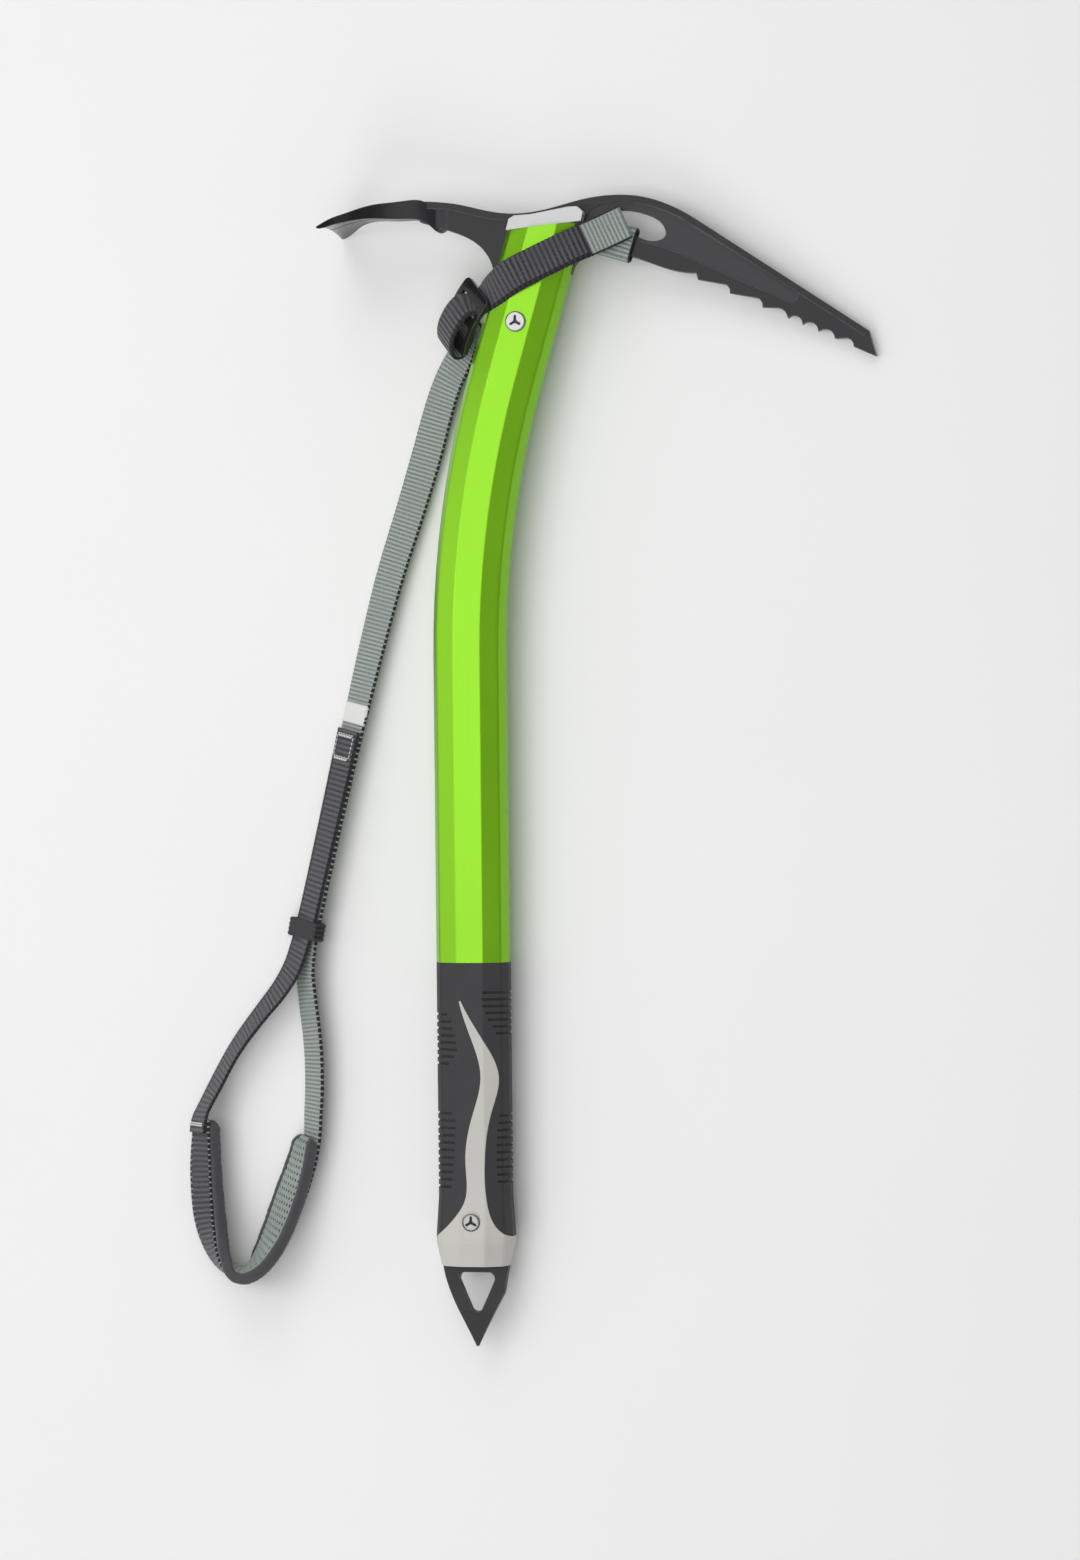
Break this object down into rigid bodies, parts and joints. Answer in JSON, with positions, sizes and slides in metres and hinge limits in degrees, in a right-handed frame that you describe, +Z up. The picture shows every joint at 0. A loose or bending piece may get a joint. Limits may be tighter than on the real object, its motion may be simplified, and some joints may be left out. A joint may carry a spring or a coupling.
{
  "type": "ice axe",
  "caption": "Ice axe with a curved green aluminium shaft, a forged steel head with toothed pick and adze, a ribbed rubber grip, a steel spike and a padded webbing wrist leash.",
  "frame": {"origin": "middle of the axe's box, without its leash, on the surface that it lies on", "axes": "+Z up off that surface, +Y from the spike to the head, +X to the pick's side"},
  "size_m": [0.3151, 0.5005, 0.0532],
  "materials": {
    "black_steel": "satin",
    "spike_steel": "satin",
    "bright_steel": "bright",
    "green_anodised": "anodised, satin",
    "grey_plastic": "moulded",
    "inner_plastic": "moulded",
    "black_rubber": "moulded",
    "light_webbing": "ribbed weave",
    "dark_webbing": "ribbed weave",
    "black_metal": "gloss",
    "pad_mesh": "spacer mesh",
    "dark_binding": "woven tape",
    "white_label": "satin tape",
    "white_thread": "thread"
  },
  "bodies": {
    "axe": {"head": "black_steel", "head_insert_front": "grey_plastic", "head_insert_back": "grey_plastic", "head_bolt": "bright_steel", "head_sleeve": "bright_steel", "shaft": "green_anodised", "grip_sleeve": "black_rubber", "ferrule": "grey_plastic", "spike": "spike_steel", "spike_wedge_front": "inner_plastic", "spike_wedge_back": "inner_plastic", "spike_screw": "bright_steel", "spike_sleeve": "bright_steel", "eye_loop": "light_webbing", "head_strap": "dark_webbing", "buckle": "black_metal", "buckle_loop": "dark_webbing"},
    "leash": {"long_strap": "light_webbing", "wrist_strap": "dark_webbing", "wrist_pad": "pad_mesh", "pad_webbing": "dark_webbing", "pad_binding": "dark_binding", "label": "white_label", "box_stitching": "white_thread"},
    "keeper": {"slider": "dark_webbing"}
  },
  "joints": [
    {"name": "leash_swing", "type": "hinge", "parent": "axe", "child": "leash", "pos_m": [-0.0665, 0.1845, 0.003], "axis": [0, 0, 1], "range_deg": [-60, 5]},
    {"name": "keeper_slide", "type": "slide", "parent": "leash", "child": "keeper", "axis": [0.2203, 0.9754, 0], "range_m": [0, 0.056]}
  ]
}
